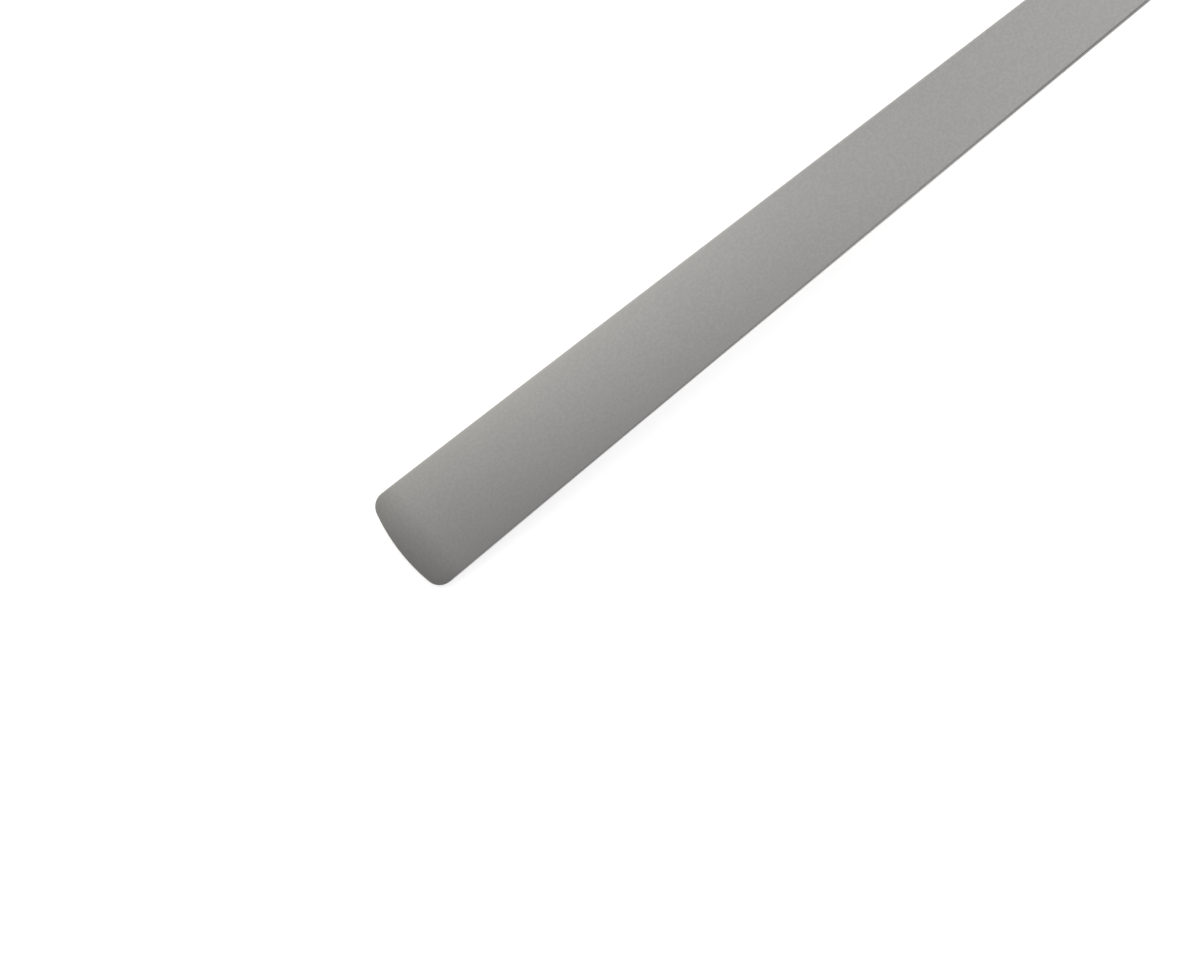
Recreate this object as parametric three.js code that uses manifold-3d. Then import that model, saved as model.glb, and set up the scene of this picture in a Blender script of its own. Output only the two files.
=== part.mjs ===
// A soup spoon made from one piece of matt stainless steel, lying bowl up on a table.
// Units are millimetres. +X runs along the spoon to the tip of the bowl, +Y across it and +Z up.
// The origin is on the table, under the middle of the spoon's length.
// Places along the spoon are measured from the end of the handle.

import * as THREE from 'three';
import { mergeVertices } from 'three/addons/utils/BufferGeometryUtils.js';
import Module from 'manifold-3d';

// Outline, as seen from above
const OVERALL_LENGTH = 198;
const HANDLE_END_WIDTH = 14.1; // across the end, between the corners before they are rounded
const NECK_WIDTH = 8.7; // across the narrowest place, where the bowl starts to flare
const END_ARC_RADIUS = 24.5; // shallow curve of the handle's end
const END_CORNER_RADIUS = 2.1;
const BOWL_WIDTH = 42;
const BOWL_FRONT_LENGTH = 35; // from the widest place to the tip
const BOWL_REAR_LENGTH = 30; // from the widest place to where its egg shape would close behind
const NECK_TO_BOWL = 9; // from the narrowest place to where that egg shape would close
const SHOULDER_ANGLE = 40; // how far round the egg, from its rear, the neck's flare reaches it, in degrees
const NECK_PULL = 9; // how far the flare keeps to the line of the handle
const SHOULDER_PULL = 7; // how far the flare keeps to the line of the egg

// Side profile, as heights of the middle of the steel above the table
const BOWL_DEPTH = 9; // from the rim down to the inside of the bowl
const TIP_LIFT = 0.8; // how far the rim rises towards the tip
const NECK_HEIGHT = 13;
const HANDLE_FALL = 4.7; // slope of the straight stretch of the handle, in degrees
const BEND_LENGTH = 70; // the end of the handle that bends on down to the table
const RIM_BLEND_START = 18; // before the narrowest place, where the handle's line starts to turn to the rim's
const HOLLOW_START = 3; // past the narrowest place, where the hollow of the bowl begins

// Thickness of the steel
const END_EDGE_THICKNESS = 1.3;
const NECK_THICKNESS = 3.4;
const BOWL_THICKNESS = 1.9; // in the middle of the bowl
const RIM_THICKNESS = 1.4;
const HANDLE_CROWN = 0.95; // how much thicker the handle is along its middle, near its end
const CROWN_LENGTH = 88; // the crown dies out into a flat bar over this length
const CROWN_FADE = 1.5; // power that sets how softly it dies out
const END_PILLOW_LENGTH = 5; // the crown falls away over this length at the end, most at the corners
const THIN_END_LENGTH = 20; // the edges stay thin over this length
const HANDLE_EDGE_RADIUS = 0.15; // the handle's edges are crisp
const RIM_EDGE_RADIUS = 0.6; // and those of the bowl are softly rounded
const ROUNDEST_EDGE = 0.48; // most of the thickness that an edge's radius takes, so that a thin flat is left
const REST_FLAT_DEPTH = 0.12; // worn off the underside of the bowl, where it rests

// How finely the surface is divided
const END_ARC_STEPS = 6;
const CORNER_STEPS = 5;
const HANDLE_STEPS = 24;
const FLARE_STEPS = 14;
const BOWL_REAR_STEPS = 12;
const BOWL_FRONT_STEPS = 20;
const ACROSS_STEPS = 14;
const EDGE_STEPS = 3;
const SLOPE_STEP = 0.01; // over which slopes are measured
const WELD_DISTANCE = 1e-3; // under which corners are one

const { lerp, smootherstep, degToRad } = THREE.MathUtils;

// Places along the spoon that follow from those sizes
const bowlMiddle = OVERALL_LENGTH - BOWL_FRONT_LENGTH;
const neck = bowlMiddle - BOWL_REAR_LENGTH - NECK_TO_BOWL;
const hollowStart = neck + HOLLOW_START;
const sideSlope = (HANDLE_END_WIDTH - NECK_WIDTH) / 2 / neck;

// The spoon is a sheet of steel of varying thickness about a curved middle surface.
// Its depth there makes the inside of the bowl as deep as stated, measured from the top of the rim.
const middleDepth = BOWL_DEPTH - RIM_THICKNESS / 2 + BOWL_THICKNESS / 2;
const rimHeight = middleDepth + BOWL_THICKNESS / 2 - REST_FLAT_DEPTH;

// Eases from one value to another between two places along the spoon.
function ease(from, to, start, end, x) {
  return lerp(from, to, smootherstep(x, start, end));
}

// The curves of one side of the outline in order, from the middle of the handle's end to the tip.
// Each comes with the number of steps that it is divided into.
function outlineCurves() {
  // The corner's centre lies one corner radius inside both the end's arc and the straight side.
  const inside = HANDLE_END_WIDTH / 2 - END_CORNER_RADIUS * Math.hypot(1, sideSlope);
  const a = 1 + sideSlope ** 2;
  const b = END_ARC_RADIUS + inside * sideSlope;
  const c = END_ARC_RADIUS ** 2 + inside ** 2 - (END_ARC_RADIUS - END_CORNER_RADIUS) ** 2;
  const cornerX = (b - Math.sqrt(b ** 2 - a * c)) / a;
  const cornerY = inside - sideSlope * cornerX;
  const cornerStart = Math.atan2(cornerY, cornerX - END_ARC_RADIUS);
  const sideNormal = Math.atan2(1, sideSlope);

  const ellipse = (x, y, rx, ry, from, to) => new THREE.EllipseCurve(x, y, rx, ry, from, to, true);
  const endArc = ellipse(END_ARC_RADIUS, 0, END_ARC_RADIUS, END_ARC_RADIUS, Math.PI, cornerStart);
  const corner = ellipse(cornerX, cornerY, END_CORNER_RADIUS, END_CORNER_RADIUS, cornerStart, sideNormal);
  const neckPoint = new THREE.Vector2(neck, NECK_WIDTH / 2);
  const side = new THREE.LineCurve(corner.getPoint(1), neckPoint);

  const shoulder = Math.PI - degToRad(SHOULDER_ANGLE);
  const rear = ellipse(bowlMiddle, 0, BOWL_REAR_LENGTH, BOWL_WIDTH / 2, shoulder, Math.PI / 2);
  const front = ellipse(bowlMiddle, 0, BOWL_FRONT_LENGTH, BOWL_WIDTH / 2, Math.PI / 2, 0);
  const shoulderPoint = rear.getPoint(0);
  const flare = new THREE.CubicBezierCurve(
    neckPoint,
    neckPoint.clone().addScaledVector(side.getTangent(1), NECK_PULL),
    shoulderPoint.clone().addScaledVector(rear.getTangent(0), -SHOULDER_PULL),
    shoulderPoint,
  );
  return [
    [endArc, END_ARC_STEPS],
    [corner, CORNER_STEPS],
    [side, HANDLE_STEPS],
    [flare, FLARE_STEPS],
    [rear, BOWL_REAR_STEPS],
    [front, BOWL_FRONT_STEPS],
  ];
}

// Points along the outline, each with the direction that faces out of it.
function outlineStations() {
  return outlineCurves().flatMap(([curve, steps], index) => {
    const first = index === 0 ? 0 : 1;
    return Array.from({ length: steps + 1 - first }, (_, k) => {
      const t = (k + first) / steps;
      const tangent = curve.getTangent(t);
      return { point: curve.getPoint(t), out: new THREE.Vector2(-tangent.y, tangent.x) };
    });
  });
}

const stations = outlineStations();

// Half the width of the outline at a place along the spoon.
function halfWidth(x) {
  const next = Math.max(1, stations.findIndex(({ point }) => point.x >= x));
  const before = stations[next - 1].point;
  const after = stations[next].point;
  return lerp(before.y, after.y, (x - before.x) / (after.x - before.x));
}

// How far the middle surface dips below its rim, along the spoon's centre line.
function hollow(x) {
  const along = (x - bowlMiddle) / BOWL_FRONT_LENGTH;
  return middleDepth * (1 - along ** 2) * smootherstep(x, hollowStart, bowlMiddle);
}

// Thickness of the steel as a plain bar and rim, before the handle's crown and the bowl's belly.
function plainThickness(x) {
  const handle = ease(END_EDGE_THICKNESS, NECK_THICKNESS, THIN_END_LENGTH, neck, x);
  return ease(handle, RIM_THICKNESS, neck, bowlMiddle, x);
}

// How much the crown thickens the handle: a low dome across it that also falls away at the end.
// Its corners there come out a little thinner than the rest of the edge.
function handleCrown(x, y) {
  const fade = (1 - Math.min(x / CROWN_LENGTH, 1) ** 2) ** CROWN_FADE;
  const fromMiddle = y / (HANDLE_END_WIDTH / 2 - sideSlope * x);
  const fromEnd = 1 - Math.min(x / END_PILLOW_LENGTH, 1);
  return HANDLE_CROWN * fade * (1 - fromMiddle ** 2 - fromEnd ** 2);
}

// How much thicker the bowl is on its centre line than at its rim.
function belly(x) {
  return (BOWL_THICKNESS - RIM_THICKNESS) * (hollow(x) / middleDepth);
}

// Radius of the rounded edges.
function edgeRadius(x) {
  return ease(HANDLE_EDGE_RADIUS, RIM_EDGE_RADIUS, neck, bowlMiddle, x);
}

// The straight stretch of the handle, carried on in both directions.
function handleLine(x) {
  return NECK_HEIGHT - Math.tan(degToRad(HANDLE_FALL)) * (neck - x);
}

// How much of the end's bend a place has, from none where the bend starts to one at the end.
function bendShare(x) {
  return Math.max(0, 1 - x / BEND_LENGTH) ** 3;
}

// The end bends down as far as it can with its underside, inside the rounded edge, above the table.
const endBend = Math.min(
  ...stations
    .filter(({ point }) => point.x < BEND_LENGTH / 2)
    .map(({ point, out }) => {
      const place = point.x - HANDLE_EDGE_RADIUS * out.x;
      const below = (plainThickness(place) + handleCrown(place, 0)) / 2;
      return (handleLine(place) - below) / bendShare(place);
    }),
);

// Height of the rim, which on the handle is the height of the middle of the steel.
function rimLine(x) {
  const handle = handleLine(x) - endBend * bendShare(x);
  const bowl = rimHeight + TIP_LIFT * ((x - bowlMiddle) / BOWL_FRONT_LENGTH) ** 2;
  return ease(handle, bowl, neck - RIM_BLEND_START, bowlMiddle, x);
}

// Height of the middle surface: across the bowl it is a parabola from rim to rim.
function middleHeight(x, y) {
  const width = x < bowlMiddle ? halfWidth(x) : BOWL_WIDTH / 2;
  const steepness = (x < bowlMiddle ? hollow(x) : middleDepth) / width ** 2;
  return rimLine(x) - hollow(x) + steepness * y ** 2;
}

// Slopes of the middle surface along and across the spoon.
function middleSlopes(x, y) {
  const along = middleHeight(x + SLOPE_STEP, y) - middleHeight(x - SLOPE_STEP, y);
  const across = middleHeight(x, y + SLOPE_STEP) - middleHeight(x, y - SLOPE_STEP);
  return new THREE.Vector2(along, across).divideScalar(2 * SLOPE_STEP);
}

// A point on the middle surface, and the direction square to it.
function middlePoint(x, y) {
  const slopes = middleSlopes(x, y);
  return {
    centre: new THREE.Vector3(x, y, middleHeight(x, y)),
    up: new THREE.Vector3(-slopes.x, -slopes.y, 1).normalize(),
  };
}

// One closed loop of points round the spoon, through one station of the outline.
// It goes over the top from the left side to the right, round that edge, back below and round the left.
function sectionLoop({ point, out }) {
  const outlineThickness = plainThickness(point.x) + handleCrown(point.x, point.y);
  const radius = Math.min(edgeRadius(point.x), ROUNDEST_EDGE * outlineThickness);
  const edgeSlope = middleSlopes(point.x, point.y).dot(out);
  const tilt = Math.abs(edgeSlope) / Math.hypot(1, edgeSlope);
  const inset = radius + (outlineThickness / 2 - radius) * tilt;
  const x = point.x - inset * out.x;
  const half = Math.max(0, point.y - inset * out.y);
  const thickness = (across) =>
    plainThickness(point.x) + handleCrown(x, half * across) + belly(point.x) * (1 - across ** 2);

  const face = (side) =>
    Array.from({ length: ACROSS_STEPS + 1 }, (_, k) => {
      const across = 1 - (2 * k) / ACROSS_STEPS;
      const { centre, up } = middlePoint(x, half * across);
      return centre.addScaledVector(up, (side * thickness(across)) / 2);
    });

  const edge = (side) => {
    const { centre, up } = middlePoint(x, side * half);
    const outwards = new THREE.Vector3(out.x, side * out.y, edgeSlope).normalize();
    const round = (turn, below) =>
      centre
        .clone()
        .addScaledVector(outwards, radius * Math.sin(turn))
        .addScaledVector(up, below * (thickness(1) / 2 - radius + radius * Math.cos(turn)));
    const turns = Array.from({ length: EDGE_STEPS }, (_, k) => ((k + 1) / EDGE_STEPS) * (Math.PI / 2));
    const upper = turns.map((turn) => round(turn, 1));
    const lower = turns.map((turn) => round(turn, -1)).reverse();
    return [...upper, ...lower];
  };

  return [...face(1), ...edge(-1), ...face(-1).reverse(), ...edge(1).reverse()];
}

// A closed skin through the loops. The first and last loops are folded flat, so they close the ends.
function loftGeometry(loops) {
  const count = loops[0].length;
  const positions = loops.flat().flatMap((corner) => corner.toArray());
  const triangles = [];
  for (let ring = 0; ring + 1 < loops.length; ring++) {
    for (let k = 0; k < count; k++) {
      const here = ring * count + k;
      const beside = ring * count + ((k + 1) % count);
      triangles.push(here, beside, beside + count, here, beside + count, here + count);
    }
  }
  const geometry = new THREE.BufferGeometry();
  geometry.setAttribute('position', new THREE.Float32BufferAttribute(positions, 3));
  geometry.setIndex(triangles);
  return geometry;
}

const wasm = await Module();
wasm.setup();

// A closed geometry as a solid that can be cut, without the triangles that folded to nothing.
function solidOf(geometry) {
  const bare = geometry.clone();
  bare.deleteAttribute('normal');
  bare.deleteAttribute('uv');
  const merged = mergeVertices(bare, WELD_DISTANCE);
  const index = merged.index.array;
  const triVerts = [];
  for (let k = 0; k < index.length; k += 3) {
    const corners = [index[k], index[k + 1], index[k + 2]];
    if (new Set(corners).size === 3) triVerts.push(...corners);
  }
  return new wasm.Manifold(
    new wasm.Mesh({
      numProp: 3,
      vertProperties: merged.attributes.position.array,
      triVerts: new Uint32Array(triVerts),
    }),
  );
}

// A solid as a three.js geometry.
function geometryOf(solid) {
  const { vertProperties, triVerts } = solid.getMesh();
  const geometry = new THREE.BufferGeometry();
  geometry.setAttribute('position', new THREE.BufferAttribute(vertProperties, 3));
  geometry.setIndex(new THREE.BufferAttribute(triVerts, 1));
  geometry.computeVertexNormals();
  return geometry;
}

// The spoon, with the small flat that it rests on cut level with the table.
function spoonGeometry() {
  const blank = solidOf(loftGeometry(stations.map(sectionLoop)));
  const table = new THREE.BoxGeometry(2 * OVERALL_LENGTH, 2 * BOWL_WIDTH, BOWL_WIDTH);
  table.translate(bowlMiddle, 0, -BOWL_WIDTH / 2);
  return geometryOf(blank.subtract(solidOf(table)));
}

const mattSteel = new THREE.MeshStandardMaterial({ color: 0x9f9e9b, metalness: 1, roughness: 0.45 });

const spoon = new THREE.Mesh(spoonGeometry(), mattSteel);
spoon.name = 'soup_spoon';
spoon.position.x = -OVERALL_LENGTH / 2;

const group = new THREE.Group();
group.add(spoon);

export default group;
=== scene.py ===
"""A soup spoon of matt stainless steel on a white table, seen from above its handle.

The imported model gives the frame: metres, +X from the handle to the tip of the bowl, +Y across, +Z up,
with the origin on the table under the middle of the spoon. The spoon's own surface is worked out here
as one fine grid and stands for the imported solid. A table, a soft studio light and the camera follow.
"""

import logging
import math
from collections.abc import Sequence
from dataclasses import dataclass, field
from enum import Enum
from typing import NamedTuple

import bpy
import numpy as np
from mathutils import Matrix, Vector

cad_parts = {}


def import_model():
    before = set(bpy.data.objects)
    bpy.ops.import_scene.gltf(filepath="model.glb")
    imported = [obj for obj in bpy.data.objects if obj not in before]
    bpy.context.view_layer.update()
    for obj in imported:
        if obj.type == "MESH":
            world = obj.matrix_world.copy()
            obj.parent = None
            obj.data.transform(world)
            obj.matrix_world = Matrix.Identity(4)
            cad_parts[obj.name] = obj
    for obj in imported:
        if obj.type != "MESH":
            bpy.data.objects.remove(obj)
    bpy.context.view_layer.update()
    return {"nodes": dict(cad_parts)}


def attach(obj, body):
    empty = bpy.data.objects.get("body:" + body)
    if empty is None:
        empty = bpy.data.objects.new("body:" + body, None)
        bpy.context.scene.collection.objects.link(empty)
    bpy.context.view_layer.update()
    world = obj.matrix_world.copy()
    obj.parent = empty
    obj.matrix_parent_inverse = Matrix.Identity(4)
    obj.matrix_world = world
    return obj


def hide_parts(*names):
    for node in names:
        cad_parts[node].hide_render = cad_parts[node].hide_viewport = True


log = logging.getLogger("soup_spoon")

MM = 0.001
CAD_NODE = "soup_spoon"
BODY = "root"
STEEL_SLOT = "matt_steel"

Array = np.ndarray
Colour = tuple[float, float, float]
Socket = bpy.types.NodeSocket
Value = Socket | float | Colour


def smootherstep(x: Array, start: float, end: float) -> Array:
    """Rise from 0 at start to 1 at end as 6u^5 - 15u^4 + 10u^3, level at both.

    Args:
        x: Places to work out.
        start: Where the rise begins.
        end: Where it is complete.

    Returns:
        The share of the rise at each place.
    """
    u = np.clip((x - start) / (end - start), 0.0, 1.0)
    return u**3 * (u * (6.0 * u - 15.0) + 10.0)


def ease(low: Array | float, high: Array | float, start: float, end: float, x: Array) -> Array:
    """Go from one value to another between two places, by smootherstep.

    Args:
        low: Value at and before start.
        high: Value at and past end.
        start: Where the change begins.
        end: Where it is complete.
        x: Places to work out.

    Returns:
        The value at each place.
    """
    return low + (high - low) * smootherstep(x, start, end)


def unit(vectors: Array) -> Array:
    """Scale each vector, along the last axis, to a length of one."""
    return vectors / np.linalg.norm(vectors, axis=-1, keepdims=True)


class Side(Enum):
    """The two faces of the steel, with the sign of their offset from its middle."""

    UPPER = 1.0
    LOWER = -1.0


class Run(NamedTuple):
    """A stretch of the outline: points from above, and the way out of it at each."""

    points: Array
    out: Array


def ellipse_run(centre: tuple[float, float], radii: tuple[float, float], turn: Array) -> Run:
    """Points on an ellipse, centre + (a cos, b sin), facing out along (cos / a, sin / b).

    Args:
        centre: Centre of the ellipse.
        radii: Its two half axes a and b.
        turn: Angles of the points, in radians.

    Returns:
        The stretch of outline.
    """
    spoke = np.stack([np.cos(turn), np.sin(turn)], axis=-1)
    return Run(np.array(centre) + np.array(radii) * spoke, unit(spoke / np.array(radii)))


def bezier_run(corners: Array, steps: int) -> Run:
    """Points on a cubic Bezier curve, facing to the left of its direction.

    Args:
        corners: Its four control points.
        steps: Number of steps along it.

    Returns:
        The stretch of outline.
    """
    t = np.linspace(0.0, 1.0, steps + 1)[:, None]
    s = 1.0 - t
    a, b, c, d = corners
    points = s**3 * a + 3 * s**2 * t * b + 3 * s * t**2 * c + t**3 * d
    along = unit(s**2 * (b - a) + 2 * s * t * (c - b) + t**2 * (d - c))
    return Run(points, np.stack([-along[:, 1], along[:, 0]], axis=-1))


class Blend(Enum):
    """What a Mix node blends: its data type, and the numbers of its two inputs and its output."""

    NUMBER = ("FLOAT", 2, 3, 0)
    COLOUR = ("RGBA", 6, 7, 2)


class NodeSheet:
    """The nodes of a new material or world, with short calls for the kinds used here."""

    def __init__(self, owner: bpy.types.Material | bpy.types.World) -> None:
        """Clear the owner's nodes, ready for new ones.

        Args:
            owner: Material or world that the nodes belong to.
        """
        owner.use_nodes = True
        self.tree = owner.node_tree
        self.tree.nodes.clear()

    def add(self, kind: str) -> bpy.types.Node:
        """Add a node of that kind."""
        return self.tree.nodes.new(kind)

    def join(self, source: Socket, target: Socket) -> None:
        """Link an output to an input."""
        self.tree.links.new(source, target)

    def feed(self, target: Socket, value: Value) -> None:
        """Link a socket to an input, or set a plain number or colour on it.

        Args:
            target: Input to feed.
            value: An output socket, a number, or a colour of three numbers.
        """
        if isinstance(value, Socket):
            self.join(value, target)
        elif isinstance(value, tuple):
            target.default_value = (*value, 1.0)
        else:
            target.default_value = value

    def attribute(self, name: str) -> Socket:
        """Read a number stored on the mesh.

        Args:
            name: Name of the attribute.

        Returns:
            The number.
        """
        node = self.add("ShaderNodeAttribute")
        node.attribute_name = name
        return node.outputs["Fac"]

    def noise(self, place: Socket, size: float, detail: float) -> Socket:
        """Smooth noise from 0 to 1.

        Args:
            place: Coordinates it is read at.
            size: Size of its largest blotches, in metres.
            detail: Number of finer layers on it.

        Returns:
            The noise value.
        """
        node = self.add("ShaderNodeTexNoise")
        node.inputs["Scale"].default_value = 1.0 / size
        node.inputs["Detail"].default_value = detail
        self.join(place, node.inputs["Vector"])
        return node.outputs["Fac"]

    def stretch(self, place: Socket, sizes: tuple[float, float, float]) -> Socket:
        """Divide coordinates by a size along each axis.

        Args:
            place: Coordinates to divide.
            sizes: Size along x, y and z, in metres.

        Returns:
            The divided coordinates.
        """
        node = self.add("ShaderNodeMapping")
        node.inputs["Scale"].default_value = tuple(1.0 / size for size in sizes)
        self.join(place, node.inputs["Vector"])
        return node.outputs["Vector"]

    def math(self, operation: str, first: Value, second: Value) -> Socket:
        """Combine two values by a named operation.

        Args:
            operation: Name of the operation, as the Math node has it.
            first: First value.
            second: Second value.

        Returns:
            The result.
        """
        node = self.add("ShaderNodeMath")
        node.operation = operation
        self.feed(node.inputs[0], first)
        self.feed(node.inputs[1], second)
        return node.outputs["Value"]

    def span(self, share: Value, low: float, width: float, clamp: bool = False) -> Socket:
        """Carry a share from 0 to 1 onto low to low + width.

        Args:
            share: Value to carry over.
            low: Result at 0.
            width: How much the result grows up to 1.
            clamp: Whether the result is kept within 0 to 1.

        Returns:
            The carried value.
        """
        node = self.add("ShaderNodeMath")
        node.operation = "MULTIPLY_ADD"
        node.use_clamp = clamp
        self.feed(node.inputs[0], share)
        node.inputs[1].default_value = width
        node.inputs[2].default_value = low
        return node.outputs["Value"]

    def mix(self, blend: Blend, share: Value, first: Value, second: Value) -> Socket:
        """Blend two numbers or two colours.

        Args:
            blend: Which of the two is blended.
            share: Share of the second.
            first: Result at a share of 0.
            second: Result at a share of 1.

        Returns:
            The blended value.
        """
        data_type, first_at, second_at, result_at = blend.value
        node = self.add("ShaderNodeMix")
        node.data_type = data_type
        self.feed(node.inputs[0], share)
        self.feed(node.inputs[first_at], first)
        self.feed(node.inputs[second_at], second)
        return node.outputs[result_at]

    def exponential(self, power: Socket) -> Socket:
        """Raise e to a value.

        Args:
            power: The value.

        Returns:
            The result.
        """
        node = self.add("ShaderNodeMath")
        node.operation = "EXPONENT"
        self.join(power, node.inputs[0])
        return node.outputs["Value"]

    def towards(self, view: Socket, direction: Vector) -> Socket:
        """Cosine of the angle between a view and a direction, both of length one.

        Args:
            view: Direction that is looked along.
            direction: Direction that it is held against.

        Returns:
            The cosine.
        """
        node = self.add("ShaderNodeVectorMath")
        node.operation = "DOT_PRODUCT"
        self.join(view, node.inputs[0])
        node.inputs[1].default_value = direction
        return node.outputs["Value"]

    def seen(self) -> Socket:
        """Tell camera rays, and rays mirrored or passed on by the object, from the rest.

        Returns:
            One for those rays, and none for others.
        """
        ray = self.add("ShaderNodeLightPath")
        seen = self.math("MAXIMUM", ray.outputs["Is Camera Ray"], ray.outputs["Is Glossy Ray"])
        return self.math("MAXIMUM", seen, ray.outputs["Is Transmission Ray"])

    def sum_of(self, shaders: list[Socket]) -> Socket:
        """Add shaders together, one after another.

        Args:
            shaders: Shaders to add, at least one.

        Returns:
            Their sum.
        """
        total = shaders[0]
        for shader in shaders[1:]:
            node = self.add("ShaderNodeAddShader")
            self.join(total, node.inputs[0])
            self.join(shader, node.inputs[1])
            total = node.outputs["Shader"]
        return total

    def finish(self, kind: str, surface: Socket) -> None:
        """Link the surface to a new output node of that kind."""
        output = self.add(kind)
        self.join(surface, output.inputs["Surface"])


@dataclass(frozen=True)
class MattSteel:
    """Stainless steel tumbled to an even, very fine satin matt.

    A fine mottle and broad, faint clouds lie between two greys. Worn edges are a little lighter and
    smoother. The side walls are rougher and carry painted shade: a darker colour that stands in for
    the dark reflection they would show.
    """

    name: str = STEEL_SLOT
    colour: Colour = (0.451, 0.446, 0.439)
    cool_colour: Colour = (0.415, 0.412, 0.413)
    worn_colour: Colour = (0.462, 0.457, 0.449)
    # painted shade: the dark grey given to the side walls stands in for the dark reflection they would
    # show
    painted_wall_shade: Colour = (0.22, 0.218, 0.217)
    roughness: float = 0.43
    roughness_spread: float = 0.05
    worn_roughness: float = 0.34
    wall_roughness: float = 0.6
    cloud_size: float = 14 * MM
    cloud_share: float = 0.55
    satin_size: float = 0.36 * MM
    mottle: float = 5.0
    wear_size: float = 4 * MM
    grain_size: float = 0.24 * MM
    grain_height: float = 0.005 * MM
    hairline_length: float = 9 * MM
    hairline_width: float = 0.22 * MM
    hairline_start: float = 0.6
    hairline_contrast: float = 5.0

    def material(self) -> bpy.types.Material:
        """Build the node material.

        Returns:
            A metal whose colour, roughness and bump come from noise on Object coordinates and from
            the mesh's own attributes for worn edges, painted shade and roughness on the side walls, and
            the inside of the bowl.
        """
        made = bpy.data.materials.new(self.name)
        nodes = NodeSheet(made)
        place = nodes.add("ShaderNodeTexCoord").outputs["Object"]

        clouds = nodes.noise(place, self.cloud_size, detail=3.0)
        clouds = nodes.span(clouds, 0.5 - self.cloud_share / 2, self.cloud_share)
        satin = nodes.noise(place, self.satin_size, detail=4.0)
        mottle = nodes.math("ADD", clouds, nodes.span(satin, -self.mottle / 2, self.mottle))
        tone = nodes.mix(Blend.COLOUR, mottle, self.colour, self.cool_colour)

        worn = nodes.attribute("worn_edge")
        patchy = nodes.math("MULTIPLY", worn, nodes.noise(place, self.wear_size, detail=2.0))
        tone = nodes.mix(Blend.COLOUR, patchy, tone, self.worn_colour)
        # Painted shade: the side walls take a darker colour in place of the dark reflection they would
        # show, and a higher roughness
        wall = nodes.attribute("wall_shade_and_roughness")
        tone = nodes.mix(Blend.COLOUR, wall, tone, self.painted_wall_shade)

        rough = nodes.span(satin, self.roughness - self.roughness_spread / 2, self.roughness_spread)
        rough = nodes.mix(Blend.NUMBER, patchy, rough, self.worn_roughness)
        rough = nodes.mix(Blend.NUMBER, wall, rough, self.wall_roughness)

        grain = nodes.noise(place, self.grain_size, detail=3.0)
        hairlines = self.hairlines(nodes, place)
        height = nodes.math("ADD", grain, hairlines)
        bump = nodes.add("ShaderNodeBump")
        bump.inputs["Strength"].default_value = 1.0
        bump.inputs["Distance"].default_value = self.grain_height
        nodes.join(height, bump.inputs["Height"])

        steel = nodes.add("ShaderNodeBsdfPrincipled")
        steel.inputs["Metallic"].default_value = 1.0
        nodes.join(tone, steel.inputs["Base Color"])
        nodes.join(rough, steel.inputs["Roughness"])
        nodes.join(bump.outputs["Normal"], steel.inputs["Normal"])
        nodes.finish("ShaderNodeOutputMaterial", steel.outputs["BSDF"])
        return made

    def hairlines(self, nodes: NodeSheet, place: Socket) -> Socket:
        """Faint lines that cutlery gets in use, kept to the inside of the bowl.

        Args:
            nodes: Sheet that the nodes are added to.
            place: Object coordinates.

        Returns:
            Depth of the lines, as a share of the grain's height.
        """
        stretched = nodes.stretch(place, (self.hairline_length, self.hairline_width, self.hairline_width))
        lines = nodes.noise(stretched, 1.0, detail=1.0)
        low = -self.hairline_contrast * self.hairline_start
        sharp = nodes.span(lines, low, self.hairline_contrast, clamp=True)
        return nodes.math("MULTIPLY", sharp, nodes.attribute("bowl_inside"))


@dataclass(frozen=True)
class WhiteTable:
    """A plain white table top, which shows white and keeps the shadows on it."""

    name: str = "white_table"
    colour: Colour = (0.82, 0.82, 0.82)
    glow: float = 0.52

    def material(self) -> bpy.types.Material:
        """Build the node material.

        Returns:
            A matt white, with a glow that rays from the camera, and those mirrored or passed on
            by the object, see alike.
        """
        made = bpy.data.materials.new(self.name)
        nodes = NodeSheet(made)
        matt = nodes.add("ShaderNodeBsdfDiffuse")
        matt.inputs["Color"].default_value = (*self.colour, 1.0)
        glow = nodes.add("ShaderNodeEmission")
        nodes.join(nodes.math("MULTIPLY", nodes.seen(), self.glow), glow.inputs["Strength"])
        both = nodes.sum_of([matt.outputs["BSDF"], glow.outputs["Emission"]])
        nodes.finish("ShaderNodeOutputMaterial", both)
        return made


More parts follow.
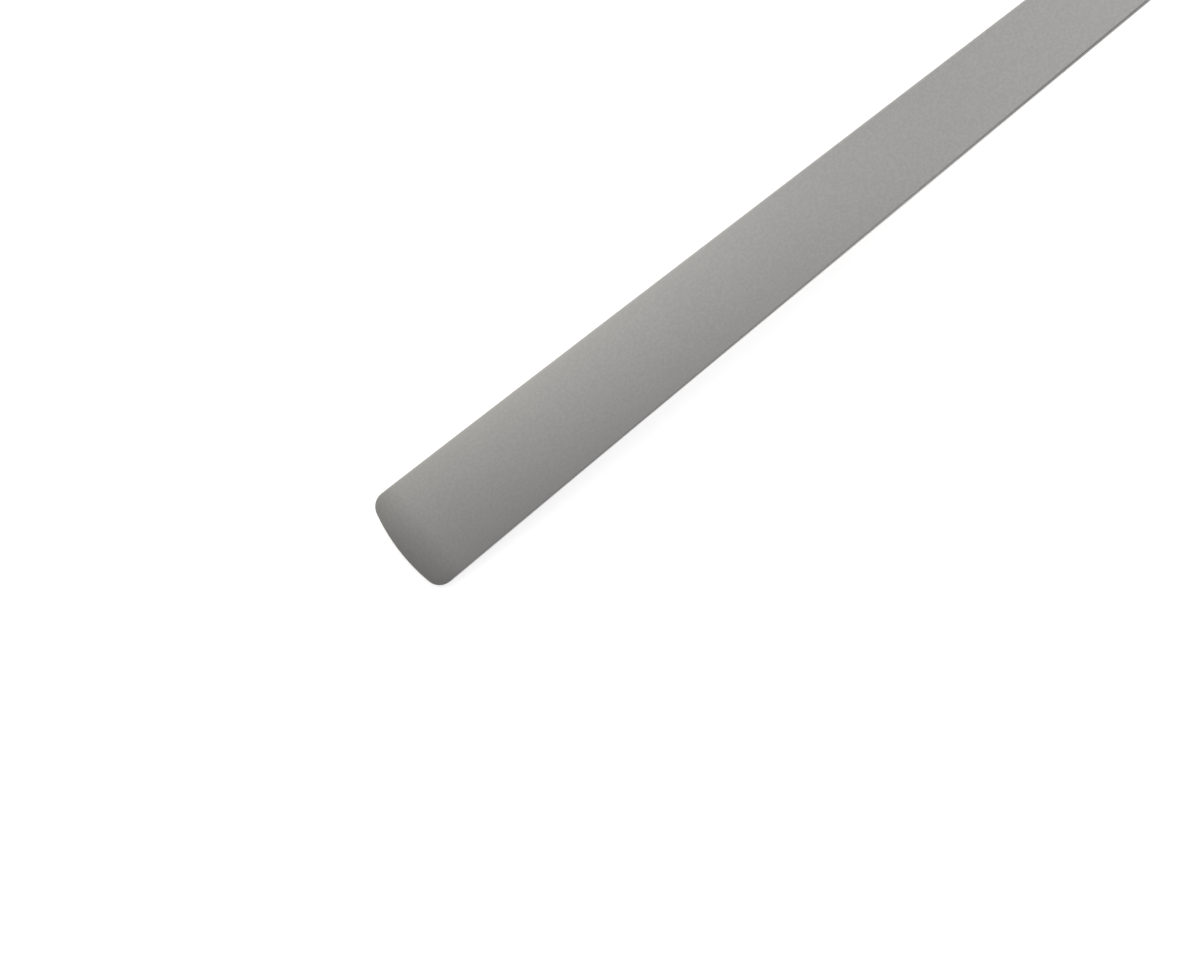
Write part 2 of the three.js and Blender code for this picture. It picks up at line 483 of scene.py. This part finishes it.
@dataclass
class Spoon:
    """The whole spoon: one sheet of steel of varying thickness about a curved middle surface.

    Places along the spoon are measured from the end of the handle, and heights from the table.
    """

    name: str = "spoon_steel"

    overall_length: float = 198 * MM
    handle_end_width: float = 14.1 * MM
    neck_width: float = 8.7 * MM
    end_arc_radius: float = 24.5 * MM
    end_corner_radius: float = 2.1 * MM
    bowl_width: float = 42 * MM
    bowl_front_length: float = 35 * MM
    bowl_rear_length: float = 30 * MM
    neck_to_bowl: float = 9 * MM
    shoulder_angle: float = math.radians(40)
    neck_pull: float = 9 * MM
    shoulder_pull: float = 7 * MM

    bowl_depth: float = 9 * MM
    tip_lift: float = 0.8 * MM
    neck_height: float = 13 * MM
    handle_fall: float = math.radians(4.7)
    bend_length: float = 70 * MM
    rim_blend_start: float = 18 * MM
    hollow_start_past_neck: float = 3 * MM

    end_edge_thickness: float = 1.3 * MM
    neck_thickness: float = 3.4 * MM
    bowl_thickness: float = 1.9 * MM
    rim_thickness: float = 1.4 * MM
    handle_crown: float = 0.95 * MM
    crown_length: float = 88 * MM
    crown_fade: float = 1.5
    end_pillow_length: float = 5 * MM
    thin_end_length: float = 20 * MM
    handle_edge_radius: float = 0.15 * MM
    rim_edge_radius: float = 0.6 * MM
    roundest_edge: float = 0.48
    rest_flat_depth: float = 0.12 * MM

    end_arc_steps: int = 26
    corner_steps: int = 14
    handle_steps: int = 150
    flare_steps: int = 64
    bowl_rear_steps: int = 54
    bowl_front_steps: int = 96
    across_steps: int = 72
    edge_steps: int = 9
    table_density: int = 12

    slope_step: float = 0.02 * MM
    weld_distance: float = 0.0002 * MM
    worn_reach: float = 1.1 * MM
    held_length: float = 50 * MM
    held_end: float = 78 * MM
    # turn round the edge at which the side wall's painted shade and roughness are full
    wall_shade_and_roughness_turn: float = math.radians(54)
    # painted wall shade: its share towards the handle's end, and where it deepens towards the neck
    pale_wall_share: float = 0.64
    pale_wall_end: float = 70 * MM
    dark_wall_start: float = 110 * MM
    hairline_fade: int = 4

    bowl_middle: float = field(init=False)
    neck: float = field(init=False)
    width_table: Array = field(init=False)
    side_slope: float = field(init=False)
    middle_depth: float = field(init=False)
    rim_height: float = field(init=False)
    end_bend: float = field(init=False)

    def __post_init__(self) -> None:
        """Work out the places and heights that follow from the sizes."""
        self.bowl_middle = self.overall_length - self.bowl_front_length
        self.neck = self.bowl_middle - self.bowl_rear_length - self.neck_to_bowl
        self.side_slope = (self.handle_end_width - self.neck_width) / 2 / self.neck
        self.middle_depth = self.bowl_depth - self.rim_thickness / 2 + self.bowl_thickness / 2
        self.rim_height = self.middle_depth + self.bowl_thickness / 2 - self.rest_flat_depth
        self.width_table = self.outline(self.table_density).points
        self.end_bend = self.lowest_bend()

    def corner_centre(self) -> tuple[float, float]:
        """Find the centre of the end's corner, one radius inside both the end's arc and the straight side.

        Returns:
            Its places along and across the spoon.
        """
        inside = self.handle_end_width / 2 - self.end_corner_radius * math.hypot(1, self.side_slope)
        a = 1 + self.side_slope**2
        b = self.end_arc_radius + inside * self.side_slope
        inner = self.end_arc_radius - self.end_corner_radius
        c = self.end_arc_radius**2 + inside**2 - inner**2
        x = (b - math.sqrt(b**2 - a * c)) / a
        return x, inside - self.side_slope * x

    def outline(self, density: int = 1) -> Run:
        """One side of the outline from above: arc, corner, straight side, flare and two quarter ellipses.

        Args:
            density: How many times finer than the spoon's own grid it is divided.

        Returns:
            The outline from the middle of the handle's end to the tip of the bowl.
        """
        corner_x, corner_y = self.corner_centre()
        corner_turn = math.atan2(corner_y, corner_x - self.end_arc_radius)
        side_turn = math.atan2(1, self.side_slope)
        shoulder = math.pi - self.shoulder_angle
        half_bowl = self.bowl_width / 2

        def turns(start: float, end: float, steps: int) -> Array:
            """Evenly spaced angles from start to end."""
            return np.linspace(start, end, density * steps + 1)

        end_arc = ellipse_run(
            (self.end_arc_radius, 0.0),
            (self.end_arc_radius, self.end_arc_radius),
            turns(math.pi, corner_turn, self.end_arc_steps),
        )
        corner = ellipse_run(
            (corner_x, corner_y),
            (self.end_corner_radius, self.end_corner_radius),
            turns(corner_turn, side_turn, self.corner_steps),
        )
        rear = ellipse_run(
            (self.bowl_middle, 0.0),
            (self.bowl_rear_length, half_bowl),
            turns(shoulder, math.pi / 2, self.bowl_rear_steps),
        )
        front = ellipse_run(
            (self.bowl_middle, 0.0),
            (self.bowl_front_length, half_bowl),
            turns(math.pi / 2, 0.0, self.bowl_front_steps),
        )
        side_start = corner.points[-1]
        neck_point = np.array([self.neck, self.neck_width / 2])
        third = (neck_point - side_start) / 3
        side = bezier_run(
            np.stack([side_start, side_start + third, neck_point - third, neck_point]),
            density * self.handle_steps,
        )
        shoulder_along = np.array([rear.out[0][1], -rear.out[0][0]])
        flare = bezier_run(
            np.stack(
                [
                    neck_point,
                    neck_point + unit(third) * self.neck_pull,
                    rear.points[0] - shoulder_along * self.shoulder_pull,
                    rear.points[0],
                ]
            ),
            density * self.flare_steps,
        )
        runs = [end_arc, corner, side, flare, rear, front]
        # A run begins on the last point of the run before it, which is kept once
        starts = [0] + [1] * (len(runs) - 1)
        return Run(
            np.concatenate([run.points[start:] for run, start in zip(runs, starts)]),
            np.concatenate([run.out[start:] for run, start in zip(runs, starts)]),
        )

    def half_width(self, x: Array) -> Array:
        """Half the outline's width at places along the spoon."""
        return np.interp(x, self.width_table[:, 0], self.width_table[:, 1])

    def hollow(self, x: Array) -> Array:
        """Hollow of the middle surface below its rim: a parabola along the bowl, eased in from the neck.

        Args:
            x: Places along the spoon.

        Returns:
            The depth at each place.
        """
        along = (x - self.bowl_middle) / self.bowl_front_length
        start = self.neck + self.hollow_start_past_neck
        return self.middle_depth * (1 - along**2) * smootherstep(x, start, self.bowl_middle)

    def plain_thickness(self, x: Array) -> Array:
        """Thickness as a plain bar: thin at the handle's end and the rim, thickest at the neck."""
        handle = ease(self.end_edge_thickness, self.neck_thickness, self.thin_end_length, self.neck, x)
        return ease(handle, self.rim_thickness, self.neck, self.bowl_middle, x)

    def crown_fade_share(self, x: Array) -> Array:
        """Share of the handle's crown left at a place, dying out towards the neck."""
        return (1 - np.clip(x / self.crown_length, 0.0, 1.0) ** 2) ** self.crown_fade

    def side_half(self, x: Array) -> Array:
        """Half the width between the handle's straight sides, carried on both ways."""
        return self.handle_end_width / 2 - self.side_slope * x

    def from_end(self, x: Array) -> Array:
        """One at the handle's end, falling to none where the crown has its full height."""
        return 1 - np.clip(x / self.end_pillow_length, 0.0, 1.0)

    def handle_crown_at(self, x: Array, y: Array) -> Array:
        """How much the crown thickens the handle: a low dome across it that also falls away at the end."""
        dome = 1 - (y / self.side_half(x)) ** 2 - self.from_end(x) ** 2
        return self.handle_crown * self.crown_fade_share(x) * dome

    def belly(self, x: Array) -> Array:
        """How much thicker the bowl is on its centre line than at its rim."""
        return (self.bowl_thickness - self.rim_thickness) * self.hollow(x) / self.middle_depth

    def edge_radius(self, x: Array) -> Array:
        """Radius of the edges: crisp on the handle and softly rounded round the bowl."""
        return ease(self.handle_edge_radius, self.rim_edge_radius, self.neck, self.bowl_middle, x)

    def handle_line(self, x: Array) -> Array:
        """Height of the handle's straight stretch, carried on both ways."""
        return self.neck_height - math.tan(self.handle_fall) * (self.neck - x)

    def bend_share(self, x: Array) -> Array:
        """Share of the end's bend, (1 - x / length)^3: one at the end and none where the bend starts."""
        return np.clip(1 - x / self.bend_length, 0.0, None) ** 3

    def lowest_bend(self) -> float:
        """Find the most that the handle's end can bend down with its underside above the table.

        Returns:
            How far the very end comes down.
        """
        line = self.outline()
        near = line.points[:, 0] < self.bend_length / 2
        x = line.points[near, 0]
        place = x - self.handle_edge_radius * line.out[near, 0]
        below = (self.plain_thickness(place) + self.handle_crown_at(place, np.zeros_like(place))) / 2
        return float(np.min((self.handle_line(place) - below) / self.bend_share(place)))

    def rim_line(self, x: Array) -> Array:
        """Line of the rim, and on the handle of the middle of the steel.

        Args:
            x: Places along the spoon.

        Returns:
            The height at each place.
        """
        handle = self.handle_line(x) - self.end_bend * self.bend_share(x)
        bowl = self.rim_height + self.tip_lift * ((x - self.bowl_middle) / self.bowl_front_length) ** 2
        return ease(handle, bowl, self.neck - self.rim_blend_start, self.bowl_middle, x)

    def middle_height(self, x: Array, y: Array) -> Array:
        """Middle surface of the steel: across the bowl, a parabola from rim to rim.

        Args:
            x: Places along the spoon.
            y: Places across it.

        Returns:
            The height at each place.
        """
        behind = x < self.bowl_middle
        width = np.where(behind, self.half_width(x), self.bowl_width / 2)
        steepness = np.where(behind, self.hollow(x), self.middle_depth) / width**2
        return self.rim_line(x) - self.hollow(x) + steepness * y**2

    def middle_slopes(self, x: Array, y: Array) -> tuple[Array, Array]:
        """Slopes of the middle surface, by central differences.

        Args:
            x: Places along the spoon.
            y: Places across it.

        Returns:
            The slope along the spoon and the slope across it.
        """
        step = self.slope_step
        along = self.middle_height(x + step, y) - self.middle_height(x - step, y)
        across = self.middle_height(x, y + step) - self.middle_height(x, y - step)
        return along / (2 * step), across / (2 * step)

    def middle_surface(self, x: Array, y: Array) -> tuple[Array, Array]:
        """Points on the middle surface and the directions square to it.

        Args:
            x: Places along the spoon.
            y: Places across it.

        Returns:
            The points and the unit normals, with x, y and z along a new last axis.
        """
        along, across = self.middle_slopes(x, y)
        points = np.stack([x, y, self.middle_height(x, y)], axis=-1)
        return points, unit(np.stack([-along, -across, np.ones_like(x)], axis=-1))

    def edge_start(self, line: Run, radius: Array) -> Array:
        """Angle at which the round of each edge starts, from the slope that the crowned face has there.

        Args:
            line: The outline.
            radius: Radius of the edge at each of its points.

        Returns:
            The angles, in radians, none where the face arrives flat.
        """
        x, y = line.points.T
        out_x, out_y = line.out.T
        crown = self.handle_crown * self.crown_fade_share(x)
        side_fall = crown * y / self.side_half(x) ** 2 * out_y
        end_fall = crown * self.from_end(x) / self.end_pillow_length * out_x
        belly_fall = self.belly(x) * out_y / np.maximum(y, radius)
        return np.arctan(np.maximum(0.0, side_fall - end_fall + belly_fall))

    def surface(self) -> tuple[Array, dict[str, Array]]:
        """The spoon's skin as closed loops, one through each point of the outline.

        A loop runs over the upper face from left to right, round the right edge, back along the
        lower face and round the left edge. The faces are the middle surface moved out by half the
        thickness. An edge is two quarter rounds with a flat wall between, starting at the slope
        that the crowned face arrives with. The first and last loops are folded flat on themselves.

        Returns:
            Points as loops by places round the loop by 3, and the attributes at those points.
        """
        line = self.outline()
        outline_x, outline_y = line.points.T
        out_x, out_y = line.out.T
        plain = self.plain_thickness(outline_x)
        belly = self.belly(outline_x)
        outline_thickness = plain + self.handle_crown_at(outline_x, outline_y)
        radius = np.minimum(self.edge_radius(outline_x), self.roundest_edge * outline_thickness)
        start_turn = self.edge_start(line, radius)

        along, across = self.middle_slopes(outline_x, outline_y)
        edge_slope = along * out_x + across * out_y
        tilt = np.abs(edge_slope) / np.hypot(1.0, edge_slope)
        wall = outline_thickness / 2 - radius * np.cos(start_turn)
        inset = radius * (1 - np.sin(start_turn)) + wall * tilt
        x = outline_x - inset * out_x
        half = np.maximum(0.0, outline_y - inset * out_y)

        place = np.linspace(1.0, -1.0, self.across_steps + 1)[None, :]
        across_x = np.broadcast_to(x[:, None], (len(x), place.size))
        across_y = half[:, None] * place
        middle, up = self.middle_surface(across_x, across_y)
        crown = self.handle_crown_at(across_x, across_y)
        thickness = plain[:, None] + crown + belly[:, None] * (1 - place**2)
        faces = {side: middle + side.value * thickness[..., None] / 2 * up for side in Side}

        step = np.arange(1, self.edge_steps + 1) / self.edge_steps
        turn = start_turn[:, None] + (math.pi / 2 - start_turn[:, None]) * step
        reach = radius[:, None] * (np.sin(turn) - np.sin(start_turn)[:, None])
        rise = thickness[:, :1] / 2 - radius[:, None] * (np.cos(start_turn)[:, None] - np.cos(turn))

        def edge(hand: float) -> Array:
            """Work out one edge from the loops' reach and rise.

            Args:
                hand: 1 for the left edge and -1 for the right.

            Returns:
                Points from the upper face round to the lower.
            """
            centre, normal = self.middle_surface(x, hand * half)
            outwards = unit(np.stack([out_x, hand * out_y, edge_slope], axis=-1))
            spread = centre[:, None] + reach[..., None] * outwards[:, None]
            upper = spread + rise[..., None] * normal[:, None]
            lower = spread - rise[..., None] * normal[:, None]
            return np.concatenate([upper, lower[:, ::-1]], axis=1)

        loops = np.concatenate(
            [faces[Side.UPPER], edge(-1.0), faces[Side.LOWER][:, ::-1], edge(1.0)[:, ::-1]], axis=1
        )
        loops[..., 2] = np.maximum(loops[..., 2], 0.0)
        loops[..., 0] -= self.overall_length / 2
        return loops, self.attributes(outline_x, half, place, turn)

    def attributes(self, x: Array, half: Array, place: Array, turn: Array) -> dict[str, Array]:
        """Where the finish changes over the skin.

        Args:
            x: Places of the loops along the spoon.
            half: Half the width of the faces at each loop.
            place: Places across the faces, from 1 to -1.
            turn: Angles round the edges at each loop.

        Returns:
            Shares from 0 to 1 on the same loops as the surface: edges worn where the handle is held
            and round the bowl, painted shade and roughness on the side walls of the handle with most of
            their rounds, the shade growing darker towards the neck, and the inside of the bowl.
        """
        from_ends = np.minimum(x, self.overall_length - x)[:, None]
        from_edge = np.minimum((1 - np.abs(place)) * half[:, None], from_ends)
        bowl_share = smootherstep(x, self.neck, self.bowl_middle)[:, None]
        held = 1 - smootherstep(x, self.held_length, self.held_end)[:, None] * (1 - bowl_share)
        worn_face = np.exp(-((from_edge / self.worn_reach) ** 2)) * held
        # share of each edge's round under the painted wall shade and roughness; the rest of the round can
        # wear
        side = smootherstep(turn, 0.0, self.wall_shade_and_roughness_turn) * (1 - bowl_share)
        side = np.concatenate([side, side[:, ::-1]], axis=1)
        worn_side = (1 - side) * held
        # painted shade on the walls, paler towards the handle's end and full towards the neck
        dark = ease(self.pale_wall_share, 1.0, self.pale_wall_end, self.dark_wall_start, x)[:, None]
        wall = side * dark
        depth = np.clip(self.hollow(x)[:, None] / self.middle_depth, 0.0, 1.0)
        inside = depth * (1 - place**self.hairline_fade)
        none = np.zeros_like(worn_face)
        no_side = np.zeros_like(wall)
        return {
            "worn_edge": np.concatenate([worn_face, worn_side, worn_face, worn_side], axis=1),
            "wall_shade_and_roughness": np.concatenate([none, wall, none, wall], axis=1),
            "bowl_inside": np.concatenate([inside, no_side, none, no_side], axis=1),
        }

    def build(self, finish: MattSteel) -> bpy.types.Object:
        """Make the spoon's mesh from the loops, welded where they fold, and dress it.

        Args:
            finish: The steel's finish.

        Returns:
            The object, with its place in its mesh.
        """
        loops, shares = self.surface()
        rings, round_count = loops.shape[:2]
        ring = np.arange(rings - 1)[:, None] * round_count
        here = ring + np.arange(round_count)[None, :]
        beside = ring + (np.arange(round_count)[None, :] + 1) % round_count
        first = np.stack([here, beside, beside + round_count], axis=-1)
        second = np.stack([here, beside + round_count, here + round_count], axis=-1)
        triangles = np.concatenate([first.reshape(-1, 3), second.reshape(-1, 3)])

        points = loops.reshape(-1, 3)
        cells = np.round(points / self.weld_distance).astype(np.int64)
        _, kept, welded = np.unique(cells, axis=0, return_index=True, return_inverse=True)
        triangles = welded.reshape(-1)[triangles]
        whole = (
            (triangles[:, 0] != triangles[:, 1])
            & (triangles[:, 1] != triangles[:, 2])
            & (triangles[:, 2] != triangles[:, 0])
        )
        mesh = mesh_of(self.name, points[kept], triangles[whole])
        for name, share in shares.items():
            store = mesh.attributes.new(name, "FLOAT", "POINT")
            store.data.foreach_set("value", share.reshape(-1)[kept].astype(np.float32))
        mesh.materials.append(finish.material())
        return place_object(self.name, mesh)


def mesh_of(name: str, points: Array, triangles: Array) -> bpy.types.Mesh:
    """Put whole arrays of points and triangles into a smooth mesh.

    Args:
        name: Name of the mesh.
        points: Corners by 3, in metres.
        triangles: Triangles by 3 corner numbers, facing out.

    Returns:
        The mesh.
    """
    mesh = bpy.data.meshes.new(name)
    mesh.vertices.add(len(points))
    mesh.vertices.foreach_set("co", points.astype(np.float32).ravel())
    mesh.loops.add(triangles.size)
    mesh.loops.foreach_set("vertex_index", triangles.astype(np.int32).ravel())
    mesh.polygons.add(len(triangles))
    mesh.polygons.foreach_set("loop_start", np.arange(0, triangles.size, 3, dtype=np.int32))
    mesh.polygons.foreach_set("use_smooth", np.ones(len(triangles), dtype=bool))
    mesh.update(calc_edges=True)
    mesh.validate()
    return mesh


def place_object(name: str, data: bpy.types.ID) -> bpy.types.Object:
    """Link new data into the scene as an object at the origin.

    Args:
        name: Name of the object.
        data: Its mesh or camera.

    Returns:
        The object.
    """
    made = bpy.data.objects.new(name, data)
    bpy.context.scene.collection.objects.link(made)
    return made


@dataclass(frozen=True)
class SkyLight:
    """One share of the light from the sky, of one colour and evenly strong all round."""

    colour: Colour
    strength: float

    def level(self, nodes: NodeSheet, view: Socket) -> Value:
        """Strength of the light from each direction.

        Args:
            nodes: Sheet that the nodes are added to.
            view: Direction that is looked along, of length one.

        Returns:
            A number, or a socket that holds it.
        """
        return self.strength

    def shader(self, nodes: NodeSheet, view: Socket) -> Socket:
        """Add this light to the world's nodes.

        Args:
            nodes: Sheet that the nodes are added to.
            view: Direction that is looked along, of length one.

        Returns:
            The light's shader.
        """
        light = nodes.add("ShaderNodeBackground")
        light.inputs["Color"].default_value = (*self.colour, 1.0)
        nodes.feed(light.inputs["Strength"], self.level(nodes, view))
        return light.outputs["Background"]


@dataclass(frozen=True)
class SkyPatch(SkyLight):
    """A soft bright patch: strength * e^(sharpness * (c - 1)), c the cosine of the angle to its middle."""

    azimuth: float
    elevation: float
    sharpness: float

    def level(self, nodes: NodeSheet, view: Socket) -> Value:
        """Strength of the patch in each direction.

        Args:
            nodes: Sheet that the nodes are added to.
            view: Direction that is looked along, of length one.

        Returns:
            The socket that holds it.
        """
        flat = math.cos(self.elevation)
        along, across = flat * math.cos(self.azimuth), flat * math.sin(self.azimuth)
        middle = Vector((along, across, math.sin(self.elevation)))
        closeness = nodes.towards(view, middle)
        power = nodes.span(closeness, math.log(self.strength) - self.sharpness, self.sharpness)
        return nodes.exponential(power)


@dataclass(frozen=True)
class SkyWall(SkyLight):
    """A pale wall all round: strength * e^(-sharpness * h^2), h the sine of the elevation."""

    sharpness: float

    def level(self, nodes: NodeSheet, view: Socket) -> Value:
        """Strength of the wall in each direction.

        Args:
            nodes: Sheet that the nodes are added to.
            view: Direction that is looked along, of length one.

        Returns:
            The socket that holds it.
        """
        height = nodes.towards(view, Vector((0.0, 0.0, 1.0)))
        square = nodes.math("MULTIPLY", height, height)
        return nodes.exponential(nodes.span(square, math.log(self.strength), -self.sharpness))


@dataclass(frozen=True)
class SkyBackdrop(SkyWall):
    """A low wall that is seen, directly and in the steel, and throws no light on the table."""

    def level(self, nodes: NodeSheet, view: Socket) -> Value:
        """Strength of the wall in each direction, for the rays that see it."""
        return nodes.math("MULTIPLY", super().level(nodes, view), nodes.seen())


@dataclass
class Studio:
    """The white table and the soft light round it."""

    table_finish: WhiteTable = field(default_factory=WhiteTable)
    table_half: float = 3.0
    sky: tuple[SkyLight, ...] = (
        SkyLight(colour=(1.0, 0.985, 1.0), strength=0.085),
        SkyWall(colour=(1.0, 0.985, 1.0), strength=0.6, sharpness=9.0),
        SkyBackdrop(colour=(1.0, 1.0, 1.0), strength=0.42, sharpness=100.0),
        SkyPatch(
            colour=(1.0, 0.99, 1.015),
            strength=1.45,
            azimuth=math.radians(20),
            elevation=math.radians(60),
            sharpness=4.0,
        ),
        SkyPatch(
            colour=(1.0, 0.985, 0.86),
            strength=1.87,
            azimuth=math.radians(90),
            elevation=math.radians(30),
            sharpness=6.0,
        ),
        SkyPatch(
            colour=(1.0, 0.98, 1.0),
            strength=0.4,
            azimuth=math.radians(-45),
            elevation=math.radians(15),
            sharpness=6.0,
        ),
    )

    def build(self) -> bpy.types.Object:
        """Make the table and the world.

        Returns:
            The table.
        """
        half = self.table_half
        flat = [[-half, -half, 0.0], [half, -half, 0.0], [half, half, 0.0], [-half, half, 0.0]]
        mesh = mesh_of("table", np.array(flat), np.array([[0, 1, 2], [0, 2, 3]]))
        mesh.materials.append(self.table_finish.material())
        table = place_object("table", mesh)
        self.light()
        return table

    def light(self) -> None:
        """Make the world from the sum of the sky's lights."""
        world = bpy.data.worlds.new("studio")
        bpy.context.scene.world = world
        nodes = NodeSheet(world)
        view = nodes.add("ShaderNodeTexCoord").outputs["Generated"]
        shaders = [light.shader(nodes, view) for light in self.sky]
        nodes.finish("ShaderNodeOutputWorld", nodes.sum_of(shaders))


@dataclass
class PhotoCamera:
    """A long lens above the handle, leaning a little towards the bowl and the near side."""

    frame_width: int = 1200
    frame_height: int = 960
    end_pixel: tuple[float, float] = (399.8, 550.4)
    handle_angle: float = math.radians(38.43)
    pixels_per_metre: float = 7992.0
    distance: float = 0.75
    lean_along: float = math.radians(6.0)
    lean_across: float = math.radians(3.3)
    sensor_width: float = 36.0

    def build(self, spoon: Spoon) -> bpy.types.Object:
        """Place the camera so that the handle's end lies on its pixel and the handle at its angle.

        Args:
            spoon: The spoon that it looks at.

        Returns:
            The camera.
        """
        end, far = self.handle_ends(spoon)
        back = Vector((math.tan(self.lean_along), -math.tan(self.lean_across), 1.0)).normalized()
        handle = far - end
        seen = (handle - handle.dot(back) * back).normalized()
        right = math.cos(self.handle_angle) * seen - math.sin(self.handle_angle) * back.cross(seen)
        up = back.cross(right)

        pixels = self.pixels_per_metre * self.distance
        to_right = (self.end_pixel[0] - self.frame_width / 2) / pixels * self.distance
        to_up = (self.frame_height / 2 - self.end_pixel[1]) / pixels * self.distance
        place = end - to_right * right - to_up * up + self.distance * back

        lens = bpy.data.cameras.new("photo_camera")
        lens.sensor_fit = "HORIZONTAL"
        lens.sensor_width = self.sensor_width
        lens.lens = pixels / self.frame_width * self.sensor_width
        made = place_object("photo_camera", lens)
        turned = Matrix((right, up, back)).transposed().to_4x4()
        made.matrix_world = Matrix.Translation(place) @ turned
        bpy.context.scene.camera = made
        return made

    def handle_ends(self, spoon: Spoon) -> tuple[Vector, Vector]:
        """Find the two places that the handle's angle is measured between.

        Args:
            spoon: The spoon that is looked at.

        Returns:
            The middle of the handle's end edge, and the middle of the handle at the neck.
        """
        x = np.array([0.0, spoon.neck])
        heights = spoon.rim_line(x)
        shift = spoon.overall_length / 2
        return Vector((x[0] - shift, 0.0, heights[0])), Vector((x[1] - shift, 0.0, heights[1]))


def main() -> None:
    """Load the frame, build the spoon, the studio and the camera, and report each piece."""
    logging.basicConfig(level=logging.INFO, format="%(name)s: %(message)s")
    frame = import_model()
    log.info("frame holds %s", ", ".join(frame["nodes"]))

    spoon = Spoon()
    steel = spoon.build(MattSteel())
    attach(steel, BODY)
    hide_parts(CAD_NODE)
    log.info("%s: %d triangles", steel.name, len(steel.data.polygons))

    table = Studio().build()
    log.info("%s: stage", table.name)
    camera = PhotoCamera().build(spoon)
    log.info("%s: %.0f mm lens", camera.name, camera.data.lens)
    bpy.context.scene.view_settings.view_transform = "Standard"


if __name__ == "__main__":
    main()
